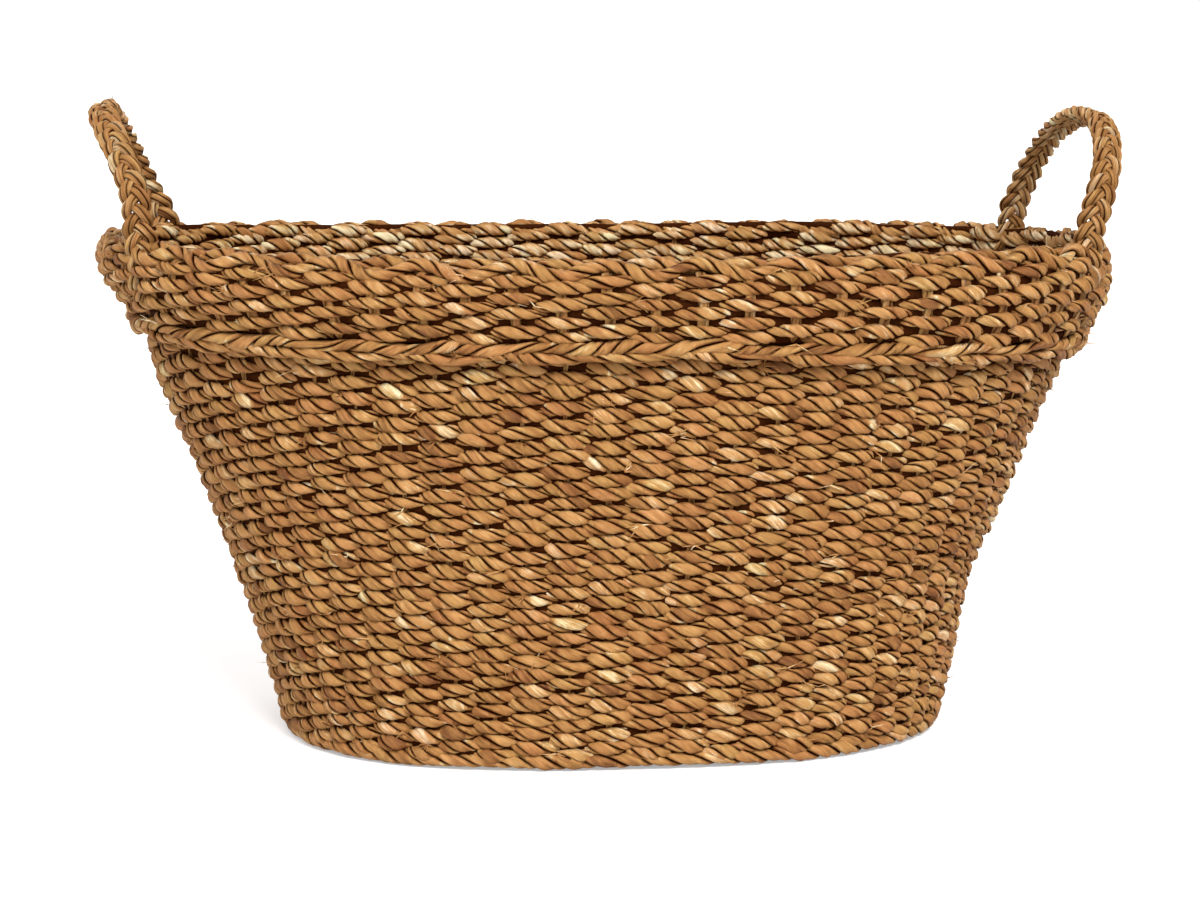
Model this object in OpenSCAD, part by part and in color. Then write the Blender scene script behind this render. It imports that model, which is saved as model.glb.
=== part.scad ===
// Woven seagrass laundry basket: an oval flared basket with a folded-down double rim
// and a plaited loop handle at each end.
// Millimetres. +X is the long axis, +Z is up, and the origin is on the floor under the middle.

/* [Overall] */
// Length over the widest line of the cuff
cuff_l = 600; // [540:5:660]
// Width over the widest line of the cuff
cuff_w = 410; // [380:5:440]
// Height from the floor to the top of the rim, handles not counted
rim_h = 283; // [276:1:310]
// Length of the foot at the floor
foot_l = 395; // [360:5:430]
// Width of the foot at the floor
foot_w = 334; // [310:5:350]

/* [Weave] */
// Thickness of the woven wall
wall_t = 8; // [7:0.5:10]
// Side of an upright stake's square section
stake_side = 4; // [3:0.1:4.4]
// Number of upright stakes, in four equal groups
stake_count = 64; // [48:16:64]
// Thickness of the woven base
base_t = 9; // [8:0.5:10]

/* [Cuff] */
// Height of the hem above the floor at the ends
hem_end_z = 218; // [206:1:222]
// Height of the hem above the floor at the front and back
hem_side_z = 230; // [222:1:234]
// Height of the plaited hem
hem_h = 9; // [7:0.5:11]
// How far the cuff's fullest line stands off the wall
cuff_stand = 10; // [8:0.5:12]

/* [Handles] */
// Height from the hinge line to the middle of the plait at the crown
handle_rise = 75; // [60:1:90]
// Outward lean of the left handle, in degrees
left_lean = 17.5; // [5:0.5:20]
// Outward lean of the right handle, in degrees
right_lean = 16; // [5:0.5:20]
// Half the width of the plait, measured between the middles of its strands
plait_half_w = 5.8; // [5.4:0.1:6.4]
// Radius of one strand of the plait
strand_r = 2.1; // [1.6:0.05:2.1]
// Number of full crossings of a strand along one handle
plait_turns = 6; // [5:1:6]

/* [Hidden] */
gap = 0.3;
full_turn = 360;

// The oval sections: half lengths, half widths and how square they are.
foot_square = 2.6;
rim_square = 2.3;
peak_z = rim_h - 20;
tuck_z = rim_h - 63;
tuck_end = 18;
tuck_side = 8;
flare_straight = 0.615;
flare_curved = 1 - flare_straight;
peak_share = flare_straight * peak_z / rim_h + flare_curved * pow(peak_z / rim_h, 2);
peak_tuck = pow((peak_z - tuck_z) / (rim_h - tuck_z), 3);
flare_l = (cuff_l / 2 - cuff_stand - gap - foot_l / 2 + tuck_end * peak_tuck) / peak_share;
flare_w = (cuff_w / 2 - cuff_stand - gap - foot_w / 2 + tuck_side * peak_tuck) / peak_share;

// Levels of the build
foot_h = 6.5;
foot_ring_w = 8;
base_z = 1.5;
spoke_z = base_z + base_t / 2 + 0.5;
wall_z0 = foot_h + gap;
lower_z = 96;
middle_z = 186;
fold_z = rim_h - 8.5;
rim_z0 = fold_z + gap;
rim_cord_w = 15;
fold_top_z = fold_z - 4.5;
fold_leg_z = fold_z - 11;
turn_z = 15;

// Handles
foot_share = 4 / 64;
hinge_z = rim_h + 5;
knuckle_r = 2.6;
knuckle_l = 10;
neck_w = 4.4;
root_lift = knuckle_r + 4 * gap;
plait_half_t = 3.4;
gather_half_w = 4.2;
gather_share = 0.07;
rings_per_turn = 12;
strand_rings = rings_per_turn * plait_turns;
strand_sides = 5;
tail_w = 15;
tail_t = 5;
tail_stub = 1.5;
tail_z0 = hem_side_z + hem_h + 4;
pocket_gap = 0.2;

// ---- Shape of the basket ----

function flare(z) = flare_straight * z / rim_h + flare_curved * pow(z / rim_h, 2);
function tuck(z) = pow(max(0, z - tuck_z) / (rim_h - tuck_z), 3);
function half_l(z) = foot_l / 2 + flare_l * flare(z) - tuck_end * tuck(z);
function half_w(z) = foot_w / 2 + flare_w * flare(z) - tuck_side * tuck(z);
function square_of(z) = foot_square + (rim_square - foot_square) * z / rim_h;

// Distance from the middle to an oval's edge in direction ang
function oval_r(a, b, n, ang) =
    pow(pow(abs(cos(ang)) / a, n) + pow(abs(sin(ang)) / b, n), -1 / n);

// A point of the wall at height z, in direction ang, off millimetres outside the wall's outer face
function skin(ang, z, off = 0) =
    let (r = oval_r(half_l(z) + off, half_w(z) + off, square_of(z), ang))
    [r * cos(ang), r * sin(ang), z];

// Pairs of share of the way round and direction, so that shares are even along the edge
function arc_table(z) =
    let (fine = 240,
         p = [for (i = [0:fine]) skin(full_turn * i / fine, z)],
         run = [for (i = 0, s = 0; i <= fine; s = s + (i < fine ? norm(p[i + 1] - p[i]) : 0), i = i + 1) s])
    [for (i = [0:fine]) [run[i] / run[fine], full_turn * i / fine]];

foot_table = arc_table(0);
rim_table = arc_table(rim_h);
front_spread = 0.17;

function foot_angle(share) =
    lookup(share - front_spread * sin(2 * full_turn * share) / (4 * PI), foot_table);
function rim_angle(share) = lookup(share, rim_table);
// Direction of the stake line at this share of the way round, at height z
function stake_angle(share, z) =
    foot_angle(share) + (rim_angle(share) - foot_angle(share)) * min(1, z / rim_h);

// The same for a section halfway between two stakes, the line where the wall's facets meet
function between(j, z, off = 0) = skin(stake_angle(j / stake_count, z), z, off);
function floor_outline(off) =
    [for (j = [0:stake_count - 1]) let (p = between(j, 0, off)) [p[0], p[1]]];

function hem_z(ang) =
    (hem_end_z + hem_side_z) / 2 - (hem_side_z - hem_end_z) / 2 * cos(2 * ang);
function cuff_t(z, z0) =
    let (v = max(0, min(1, (z - z0) / (rim_h - z0))))
    cuff_stand * (0.62 + 0.38 * sin(180 * v));

// ---- Solids made of sections ----

// A closed ring through a list of sections, each a loop of the same number of points
module ring_loft(sections) {
    count = len(sections);
    m = len(sections[0]);
    points = [for (s = sections, p = s) p];
    faces = [for (j = [0:count - 1], i = [0:m - 1])
                let (k = (j + 1) % count, i2 = (i + 1) % m,
                     a = j * m + i, b = k * m + i, c = k * m + i2, d = j * m + i2)
                each [[a, c, b], [a, d, c]]];
    polyhedron(points, faces, convexity = 6);
}

// A rod through a list of points. corners are the section's own points, as [across, up] pairs, and
// side is the direction of across. Bends in the plane square to side keep the full section.
module rod(path, corners, side) {
    count = len(path);
    m = len(corners);
    points = [for (k = [0:count - 1])
                let (before = path[max(k, 1)] - path[max(k, 1) - 1],
                     after = path[min(k, count - 2) + 1] - path[min(k, count - 2)],
                     both = before / norm(before) + after / norm(after),
                     t = both / norm(both),
                     u0 = side - (side * t) * t,
                     u = u0 / norm(u0),
                     v = cross(t, u) * 2 / norm(both))
                for (c = corners)
                    path[k] + c[0] * u + c[1] * v];
    walls = [for (k = [0:count - 2], i = [0:m - 1])
                let (i2 = (i + 1) % m,
                     a = k * m + i, b = k * m + i2, c = a + m, d = b + m)
                each [[a, c, b], [b, c, d]]];
    first = [for (i = [0:m - 1]) i];
    last = [for (i = [m - 1:-1:0]) (count - 1) * m + i];
    polyhedron(points, concat(walls, [first, last]), convexity = 6);
}

function round_corners(r, sides) =
    [for (i = [0:sides - 1]) r * [cos(full_turn * i / sides), sin(full_turn * i / sides)]];
function square_corners(half) = [[half, half], [-half, half], [-half, -half], [half, -half]];

// ---- Stakes: each runs from the base, up the wall, over the fold and down the cuff ----

// How far out from the middle of the base each stake starts: every fourth from the heart,
// the others let in as the base widens
function spoke_start(i) = i % 4 == 0 ? 0.22 : i % 2 == 0 ? 0.42 : 0.66;

function stake_path(i) =
    let (share = (i + 0.5) / stake_count,
         low = stake_angle(share, 0),
         rim = stake_angle(share, fold_top_z),
         edge = skin(low, 0, -14),
         hem = hem_z(rim) + hem_h + 3,
         mid = -wall_t / 2,
         high_out = gap + cuff_stand * 0.48,
         low_out = gap + cuff_stand * 0.31)
    [[edge[0] * spoke_start(i), edge[1] * spoke_start(i), spoke_z],
     [edge[0], edge[1], spoke_z],
     skin(low, turn_z, mid),
     skin(stake_angle(share, lower_z), lower_z, mid),
     skin(stake_angle(share, middle_z), middle_z, mid),
     skin(rim, fold_leg_z, mid),
     skin(rim, fold_top_z, gap / 2),
     skin(rim, fold_leg_z, high_out),
     skin(rim, hem, low_out)];

// grow widens the section, for the channel that the stake lies in
module stake(i, grow = 0) {
    rim = stake_angle((i + 0.5) / stake_count, fold_top_z);
    along = skin(rim + 1, fold_top_z) - skin(rim - 1, fold_top_z);
    rod(stake_path(i), square_corners(stake_side / 2 + grow), along / norm(along));
}

module stakes(first, count, grow = 0) {
    for (i = [first:first + count - 1])
        stake(i % stake_count, grow);
}

group = stake_count / 4;

module stake_group(start_share) {
    color("#B98A4C")
        stakes(start_share * stake_count, group);
}

module stake_channels() {
    stakes(0, stake_count, pocket_gap);
}

// ---- Weave ----

module foot_border() {
    color("#A87638")
        linear_extrude(height = foot_h)
            difference() {
                polygon(floor_outline(0));
                polygon(floor_outline(-foot_ring_w));
            }
}

module base_weave() {
    color("#B5833F")
        difference() {
            translate([0, 0, base_z])
                linear_extrude(height = base_t)
                    polygon(floor_outline(-foot_ring_w - gap));
            stake_channels();
        }
}

module wall_weave() {
    levels = [wall_z0, lower_z, middle_z, fold_leg_z, fold_z];
    color("#B9863F")
        difference() {
            ring_loft([for (j = [0:stake_count - 1])
                concat([for (z = levels) between(j, z)],
                       [for (k = [len(levels) - 1:-1:0]) between(j, levels[k], -wall_t)])]);
            stake_channels();
            tail_pockets();
        }
}

module cuff_weave() {
    share = [0, 0.4, 0.8, 1];
    color("#C49552")
        difference() {
            ring_loft([for (j = [0:stake_count - 1])
                let (z0 = hem_z(rim_angle(j / stake_count)) + hem_h + gap,
                     z = [for (s = share) z0 + s * (fold_z - z0)])
                concat([for (q = z) between(j, q, gap + cuff_t(q, z0))],
                       [for (k = [len(z) - 1:-1:0]) between(j, z[k], gap)])]);
            stake_channels();
            tail_pockets();
        }
}

module hem_braid() {
    corners = 6;
    color("#A9793B")
        ring_loft([for (j = [0:stake_count - 1])
            let (mid = hem_z(rim_angle(j / stake_count)) + hem_h / 2, t = cuff_stand * 0.36)
            [for (i = [0:corners - 1])
                let (w = full_turn * i / corners)
                between(j, mid + hem_h / 2 * sin(w) / sin(60), 2 * gap + t + t * cos(w))]]);
}

module rim_cord() {
    corners = 8;
    middle = (rim_z0 + rim_h) / 2;
    inner = -wall_t;
    color("#BC8B48")
        difference() {
            ring_loft([for (j = [0:stake_count - 1])
                [for (i = [0:corners - 1])
                    let (w = full_turn * (i + 0.5) / corners,
                         z = middle + (rim_h - rim_z0) / 2 * sin(w) / sin(67.5),
                         off = inner + rim_cord_w / 2 + rim_cord_w / 2 * cos(w) / cos(22.5),
                         p = between(j, fold_z, off))
                    [p[0], p[1], z]]]);
            tail_pockets();
        }
}

// ---- Handles ----

// Middle of a handle's foot, side 1 at the right end and -1 at the left, way 1 at the back
function handle_foot(side, way) =
    let (p = skin(rim_angle(foot_share), fold_z, -0.4))
    [side * p[0], way * p[1], hinge_z];

// Middle line of a handle, as evenly spaced points with the plait's width direction
function arch_points(side, lean) =
    let (foot = handle_foot(side, 1), fine = 120, n = rim_square,
         up = [side * sin(lean), 0, cos(lean)],
         p = [for (i = [0:fine])
                let (ang = 180 * i / fine, r = oval_r(foot[1], handle_rise, n, ang))
                [foot[0], -r * cos(ang), hinge_z] + (r * sin(ang) + root_lift) * up],
         run = [for (i = 0, s = 0; i <= fine; s = s + (i < fine ? norm(p[i + 1] - p[i]) : 0), i = i + 1) s],
         xs = [for (i = [0:fine]) [run[i] / run[fine], p[i][0]]],
         ys = [for (i = [0:fine]) [run[i] / run[fine], p[i][1]]],
         zs = [for (i = [0:fine]) [run[i] / run[fine], p[i][2]]])
    [for (k = [0:strand_rings])
        let (s = k / strand_rings) [lookup(s, xs), lookup(s, ys), lookup(s, zs)]];

// How open the plait is at this share of its length: drawn in at both feet
function openness(s) = min(1, min(s, 1 - s) / gather_share);

function strand_path(side, lean, which) =
    let (p = arch_points(side, lean), across = [cos(lean), 0, -side * sin(lean)])
    [for (k = [0:strand_rings])
        let (s = k / strand_rings,
             d = p[min(k + 1, strand_rings)] - p[max(k - 1, 0)],
             t = d / norm(d),
             through = cross(t, across),
             phase = full_turn * (plait_turns * s + which / 3) + 90,
             half_w = gather_half_w + openness(s) * (plait_half_w - gather_half_w),
             wide = half_w * sin(phase),
             deep = plait_half_t * sin(2 * phase))
        p[k] + wide * across + deep * through];

module handle_strand(side, lean, which) {
    shades = ["#CFA060", "#BE8C49", "#C7974F"];
    color(shades[which])
        rod(strand_path(side, lean, which), round_corners(strand_r, strand_sides), [1, 0.2, 0.1]);
}

// Direction of the rim's outward side at a handle's foot
function tail_turn(side, way) =
    let (d = skin(rim_angle(foot_share) + 1, rim_h) - skin(rim_angle(foot_share) - 1, rim_h))
    atan2(-way * d[0], side * d[1]);

module tail_plate(p, side, way, grow) {
    translate(p)
        rotate(tail_turn(side, way))
            cube([tail_t + 2 * grow, tail_w + 2 * grow, 0.01], center = true);
}

// The ends of the strands at one foot, threaded down between the cuff and the wall
module tail(side, way, grow) {
    p = handle_foot(side, way);
    low = skin(rim_angle(foot_share), tail_z0, gap / 2);
    hull() {
        tail_plate([p[0], p[1], rim_h + tail_stub], side, way, grow);
        tail_plate([p[0], p[1], fold_leg_z], side, way, grow);
    }
    hull() {
        tail_plate([p[0], p[1], fold_leg_z], side, way, grow);
        tail_plate([side * low[0], way * low[1], tail_z0 - grow], side, way, grow);
    }
}

// Where the plait bends: a round root under each foot, its middle on the hinge line
module knuckle(side, way) {
    neck_h = hinge_z - rim_h - gap;
    translate(handle_foot(side, way)) {
        rotate([90, 0, 0])
            cylinder(r = knuckle_r, h = knuckle_l, center = true, $fn = 48);
        translate([0, 0, -neck_h / 2])
            cube([neck_w, knuckle_l, neck_h], center = true);
    }
}

module tail_pockets() {
    for (side = [-1, 1], way = [-1, 1])
        tail(side, way, pocket_gap);
}

module handle_tails(side) {
    color("#A5763A")
        for (way = [-1, 1]) {
            tail(side, way, 0);
            knuckle(side, way);
        }
}

// ---- The sub-parts ----

foot_border();
base_weave();
wall_weave();
stake_group(0.625);  // stakes_front
stake_group(0.125);  // stakes_back
stake_group(0.375);  // stakes_left_end
stake_group(0.875);  // stakes_right_end
cuff_weave();
hem_braid();
rim_cord();
handle_strand(-1, left_lean, 0);  // left_handle_strand_a
handle_strand(-1, left_lean, 1);  // left_handle_strand_b
handle_strand(-1, left_lean, 2);  // left_handle_strand_c
handle_strand(1, right_lean, 0);  // right_handle_strand_a
handle_strand(1, right_lean, 1);  // right_handle_strand_b
handle_strand(1, right_lean, 2);  // right_handle_strand_c
handle_tails(-1);  // left_handle_tails
handle_tails(1);  // right_handle_tails
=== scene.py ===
"""Looks of the woven laundry basket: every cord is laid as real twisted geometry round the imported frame.

Lengths are in millimetres until a mesh is made, and the frame is the CAD's: +X the long axis, +Z up.
"""
import math

import bpy
import numpy as np
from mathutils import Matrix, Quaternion, Vector


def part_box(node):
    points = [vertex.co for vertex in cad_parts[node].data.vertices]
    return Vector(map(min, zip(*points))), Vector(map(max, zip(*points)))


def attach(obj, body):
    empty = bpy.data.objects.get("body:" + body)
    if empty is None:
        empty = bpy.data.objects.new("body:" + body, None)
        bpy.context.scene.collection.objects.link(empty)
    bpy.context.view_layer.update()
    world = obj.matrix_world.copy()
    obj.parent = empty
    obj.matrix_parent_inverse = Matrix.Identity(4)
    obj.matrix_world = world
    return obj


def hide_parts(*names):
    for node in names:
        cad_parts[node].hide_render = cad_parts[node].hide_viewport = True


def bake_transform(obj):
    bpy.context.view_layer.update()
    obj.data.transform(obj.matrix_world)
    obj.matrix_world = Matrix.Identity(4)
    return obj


MM = 0.001
TURN = 2 * math.pi
STAKES = 64
SEED = 20417
# How far apart two points are taken, in millimetres, to read a direction from the wall's surface
FAR_OUT = 30

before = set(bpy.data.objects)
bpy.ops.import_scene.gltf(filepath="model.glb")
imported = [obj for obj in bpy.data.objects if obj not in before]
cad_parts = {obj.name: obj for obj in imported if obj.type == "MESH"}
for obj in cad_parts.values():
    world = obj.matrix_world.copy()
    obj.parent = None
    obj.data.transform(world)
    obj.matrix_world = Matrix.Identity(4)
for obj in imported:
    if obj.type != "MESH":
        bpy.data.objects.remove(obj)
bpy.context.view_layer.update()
rng = np.random.default_rng(SEED)


def size_mm(node):
    """Lowest and highest corner of a CAD node, in millimetres."""
    low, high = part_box(node)
    return np.array(low) / MM, np.array(high) / MM


# ---- Shape of the basket, the same surface as the CAD's -------------------------------------------

foot_high = size_mm("foot_border")[1]
cuff_high = size_mm("cuff_weave")[1]
rim_high = size_mm("rim_cord")[1]
hem_low, hem_high = size_mm("hem_braid")

# GAP lies between the wall and what is outside it. The cuff stands CUFF_STAND off the wall at most.
GAP = 0.3
CUFF_STAND = 10.0
RIM_H = rim_high[2]
FOOT_HALF_L, FOOT_HALF_W = foot_high[0], foot_high[1]
CUFF_HALF_L, CUFF_HALF_W = cuff_high[0], cuff_high[1]
# The hem hangs lower at the ends than along the sides, apart from its rise at the left
HEM_H = 9.0
HEM_END_Z, HEM_SIDE_Z = hem_low[2], hem_high[2] - HEM_H
# Exponents of the oval: 2 is an ellipse, more is squarer
FOOT_SQUARE, RIM_SQUARE = 2.6, 2.3
# The wall draws in again above TUCK_Z, most at the ends. The cuff is widest at PEAK_Z.
TUCK_END, TUCK_SIDE = 18.0, 8.0
PEAK_Z, TUCK_Z = RIM_H - 20, RIM_H - 63
# Share of the flare that is straight, and how much wider apart the stakes stand at the foot's sides
STRAIGHT = 0.615
FRONT_SPREAD = 0.17
# How far the left end climbs: its hem alone, and everything above LIFT_Z
HEM_LEFT_RISE = 14.0
END_LIFT, LIFT_Z, LIFT_BLEND = 8.0, 190, 70
# How far each end is pressed in below a height, and more in a hollow: depth, height, half height
LEFT_PRESS, LEFT_PRESS_TOP, LEFT_PRESS_BLEND = 4.5, 225, 50
RIGHT_PRESS, RIGHT_PRESS_TOP, RIGHT_PRESS_BLEND = 0.8, 170, 40
LEFT_HOLLOW, LEFT_HOLLOW_Z, LEFT_HOLLOW_REACH = 7.0, 245, 22
RIGHT_HOLLOW, RIGHT_HOLLOW_Z, RIGHT_HOLLOW_REACH = 5.5, 88, 34


def run_along(path):
    """Distance from the start to each point of a path."""
    return np.r_[0, np.cumsum(np.linalg.norm(np.diff(path, axis=0), axis=1))]


def round_length(path):
    """Length of a closed path."""
    return np.linalg.norm(np.roll(path, -1, 0) - path, axis=1).sum()


def resample(path, count):
    """The same line as evenly spaced points, with their distances and the old points' from its start."""
    run = run_along(path)
    at = np.linspace(0, run[-1], count)
    return np.stack([np.interp(at, run, path[:, j]) for j in range(3)], -1), at, run


def flare(z):
    """How far the wall has come out at height z: 0 at the foot, 1 at the rim."""
    return STRAIGHT * z / RIM_H + (1 - STRAIGHT) * (z / RIM_H) ** 2


def tuck(z):
    """How far the wall has drawn in again at height z: 0 up to TUCK_Z, 1 at the rim."""
    return (np.maximum(0, z - TUCK_Z) / (RIM_H - TUCK_Z)) ** 3


FLARE_L = (CUFF_HALF_L - CUFF_STAND - GAP - FOOT_HALF_L + TUCK_END * tuck(PEAK_Z)) / flare(PEAK_Z)
FLARE_W = (CUFF_HALF_W - CUFF_STAND - GAP - FOOT_HALF_W + TUCK_SIDE * tuck(PEAK_Z)) / flare(PEAK_Z)


def oval_r(a, b, n, ang):
    """Distance from the middle to an oval's edge in direction ang, in radians."""
    return ((np.abs(np.cos(ang)) / a) ** n + (np.abs(np.sin(ang)) / b) ** n) ** (-1 / n)


def skin(ang, z, off=0.0):
    """Points of the wall at heights z, off millimetres outside its outer face."""
    a = FOOT_HALF_L + FLARE_L * flare(z) - TUCK_END * tuck(z) + off
    b = FOOT_HALF_W + FLARE_W * flare(z) - TUCK_SIDE * tuck(z) + off
    square = FOOT_SQUARE + (RIM_SQUARE - FOOT_SQUARE) * z / RIM_H
    r = oval_r(a, b, square, ang)
    return np.stack([r * np.cos(ang), r * np.sin(ang), z + 0 * ang], -1)


def arc_table(z, fine=960):
    """Share of the way round against direction, so that shares are even along the edge."""
    ang = np.linspace(0, TURN, fine + 1)
    run = run_along(skin(ang, np.full_like(ang, z)))
    return run / run[-1], ang


FOOT_TABLE, RIM_TABLE = arc_table(0.0), arc_table(RIM_H)


def round_angle(share, z):
    """Direction of the stake line at this share of the way round, at height z."""
    turns = np.floor(share)
    s = share - turns
    spread = np.clip(s - FRONT_SPREAD * np.sin(2 * TURN * s) / (2 * TURN), 0, 1)
    low = np.interp(spread, *FOOT_TABLE)
    high = np.interp(s, *RIM_TABLE)
    return low + (high - low) * np.clip(z / RIM_H, 0, 1) + TURN * turns


def smooth(x):
    """Eases from 0 to 1 while x goes from 0 to 1."""
    x = np.clip(x, 0, 1)
    return x * x * (3 - 2 * x)


def hump(x, middle, width):
    """A soft bulge of height 1 at middle."""
    return np.exp(-((x - middle) / width) ** 2)


def on_wall(share, z, off):
    """The wall's points by share of the way round, with both ends pressed in and the left end lifted."""
    ang = round_angle(share, z)
    p = skin(ang, z, off)
    left = LEFT_PRESS * (1 - smooth((z - LEFT_PRESS_TOP) / LEFT_PRESS_BLEND)) \
        + LEFT_HOLLOW * hump(z, LEFT_HOLLOW_Z, LEFT_HOLLOW_REACH)
    right = RIGHT_PRESS * (1 - smooth((z - RIGHT_PRESS_TOP) / RIGHT_PRESS_BLEND)) \
        + RIGHT_HOLLOW * hump(z, RIGHT_HOLLOW_Z, RIGHT_HOLLOW_REACH)
    leftness = 0.5 - 0.5 * np.cos(ang)
    rightness = 0.5 + 0.5 * np.cos(ang)
    p[..., 0] += left * leftness ** 3 - right * rightness ** 3
    p[..., 2] += END_LIFT * smooth((z - LIFT_Z) / LIFT_BLEND) * leftness ** 8
    return p


def off_wall(share, z, off):
    """The way out from the wall at each point. It isn't of length 1."""
    return on_wall(share, z, off + FAR_OUT) - on_wall(share, z, off)


def hem_z(ang):
    """Height of the hem's lower edge, which climbs towards the left end."""
    even = (HEM_END_Z + HEM_SIDE_Z) / 2 - (HEM_SIDE_Z - HEM_END_Z) / 2 * np.cos(2 * ang)
    return even + HEM_LEFT_RISE * (0.5 - 0.5 * np.cos(ang)) ** 6


def cuff_t(z, z0):
    """How far the cuff's outer face stands off the wall at height z, where z0 is the cuff's foot."""
    v = np.clip((z - z0) / (RIM_H - z0), 0, 1)
    return CUFF_STAND * (0.62 + 0.38 * np.sin(math.pi * v))


# ---- Random waves ---------------------------------------------------------------------------------

def wave(share, knots):
    """A smooth random curve from -1 to 1 that closes on itself after share 1."""
    values = rng.uniform(-1, 1, knots)
    x = (share % 1.0) * knots
    i = np.floor(x).astype(int)
    f = smooth(x - i)
    return values[i % knots] * (1 - f) + values[(i + 1) % knots] * f


# ---- Cords ----------------------------------------------------------------------------------------

class Bundle:
    """Tubes gathered into one mesh, with what the material needs at each point."""

    def __init__(self):
        self.points, self.tone, self.hue, self.shade, self.grain = [], [], [], [], []
        self.quads, self.caps = [], []
        self.count = 0

    def tube(self, rings, tone, hue, shade, grain, closed):
        """rings and grain are rings x sides x 3, while tone, hue and shade are rings x sides."""
        n, m = rings.shape[:2]
        index = self.count + np.arange(n * m).reshape(n, m)
        ahead = np.roll(index, -1, 0)
        around = np.roll(index, -1, 1)
        both = np.roll(ahead, -1, 1)
        quads = np.stack([index, around, both, ahead], -1)
        if not closed:
            quads = quads[:-1]
            self.caps.append(index[0][::-1])
            self.caps.append(index[-1])
        self.quads.append(quads.reshape(-1, 4))
        self.points.append(rings.reshape(-1, 3))
        self.tone.append(tone.reshape(-1))
        self.hue.append(hue.reshape(-1))
        self.shade.append(shade.reshape(-1))
        self.grain.append(grain.reshape(-1, 3))
        self.count += n * m

    def piece(self, name, material):
        """Makes the object, with the values of its points as attributes."""
        points = np.concatenate(self.points) * MM
        quads = np.concatenate(self.quads)
        sizes = np.r_[np.full(len(quads), 4), [len(cap) for cap in self.caps]].astype(np.int32)
        loops = np.concatenate([quads.ravel()] + self.caps).astype(np.int32)
        starts = np.r_[0, np.cumsum(sizes)[:-1]].astype(np.int32)
        mesh = bpy.data.meshes.new(name)
        mesh.vertices.add(len(points))
        mesh.vertices.foreach_set("co", points.ravel().astype(np.float32))
        mesh.loops.add(len(loops))
        mesh.loops.foreach_set("vertex_index", loops)
        mesh.polygons.add(len(sizes))
        mesh.polygons.foreach_set("loop_start", starts)
        mesh.polygons.foreach_set("use_smooth", np.ones(len(sizes), bool))
        mesh.update(calc_edges=True)
        for label, values, kind, key in (("tone", self.tone, "FLOAT", "value"),
                                         ("hue", self.hue, "FLOAT", "value"),
                                         ("shade", self.shade, "FLOAT", "value"),
                                         ("grain", self.grain, "FLOAT_VECTOR", "vector")):
            data = mesh.attributes.new(label, kind, "POINT").data
            data.foreach_set(key, np.concatenate(values).ravel().astype(np.float32))
        mesh.materials.append(material)
        thing = bpy.data.objects.new(name, mesh)
        bpy.context.scene.collection.objects.link(thing)
        return thing


def unit(v):
    """The same directions, of length 1."""
    return v / np.linalg.norm(v, axis=-1, keepdims=True)


def directions(path, outward, closed):
    """Along, outward and upward directions at each point of a path."""
    if closed:
        along = unit(np.roll(path, -1, 0) - np.roll(path, 1, 0))
    else:
        along = unit(np.gradient(path, axis=0))
    out = unit(outward - (outward * along).sum(-1, keepdims=True) * along)
    return along, out, np.cross(out, along)


# Angles round one ply, closer together on its outer half and at the edges of the leaf
LEAF = np.radians([-124, -104, -84, -56, -28, 0, 28, 56, 84, 104, 124, 180])
THIN_LEAF = np.radians([-118, -85, -42, 0, 42, 85, 118, 180])
# Painted shade where a leaf tucks under its neighbour: shade by the angle from its crown
EDGE_ANGLES, EDGE_SHADES = np.radians([0, 70, 88, 106, 122, 180]), [1.0, 1.0, 0.8, 0.35, 0.0, 0.0]
# Most that one leaf differs from the next: its size, and how far its crown leans to one side
LEAF_SIZE_SPREAD, LEAF_SKEW_SPREAD = 0.15, 0.32
# The fold along a leaf: how far from its crown it may lie, how broad it is, in radians, and how much
# painted shade darkens it
FOLD_SPREAD, FOLD_WIDTH, FOLD_PAINTED_SHADE = 0.95, 0.22, 2.2
# Tone and hue of the leaves: their spread, the most a tone may differ, and the change across one leaf
LEAF_SPREAD, HUE_SPREAD, TONE_LIMITS, TONE_ACROSS = 0.55, 0.5, (-1.3, 1.35), 0.10
# How much painted shade darkens the face of a cord that lies behind the stakes
SUNK_PAINTED_SHADE = 0.8
# Where the grain of a leaf is read from the noise: its width there, and how far apart two leaves are
GRAIN_WIDTH, GRAIN_STEP, GRAIN_RANGE = 4.0, 3.0, 500


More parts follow.
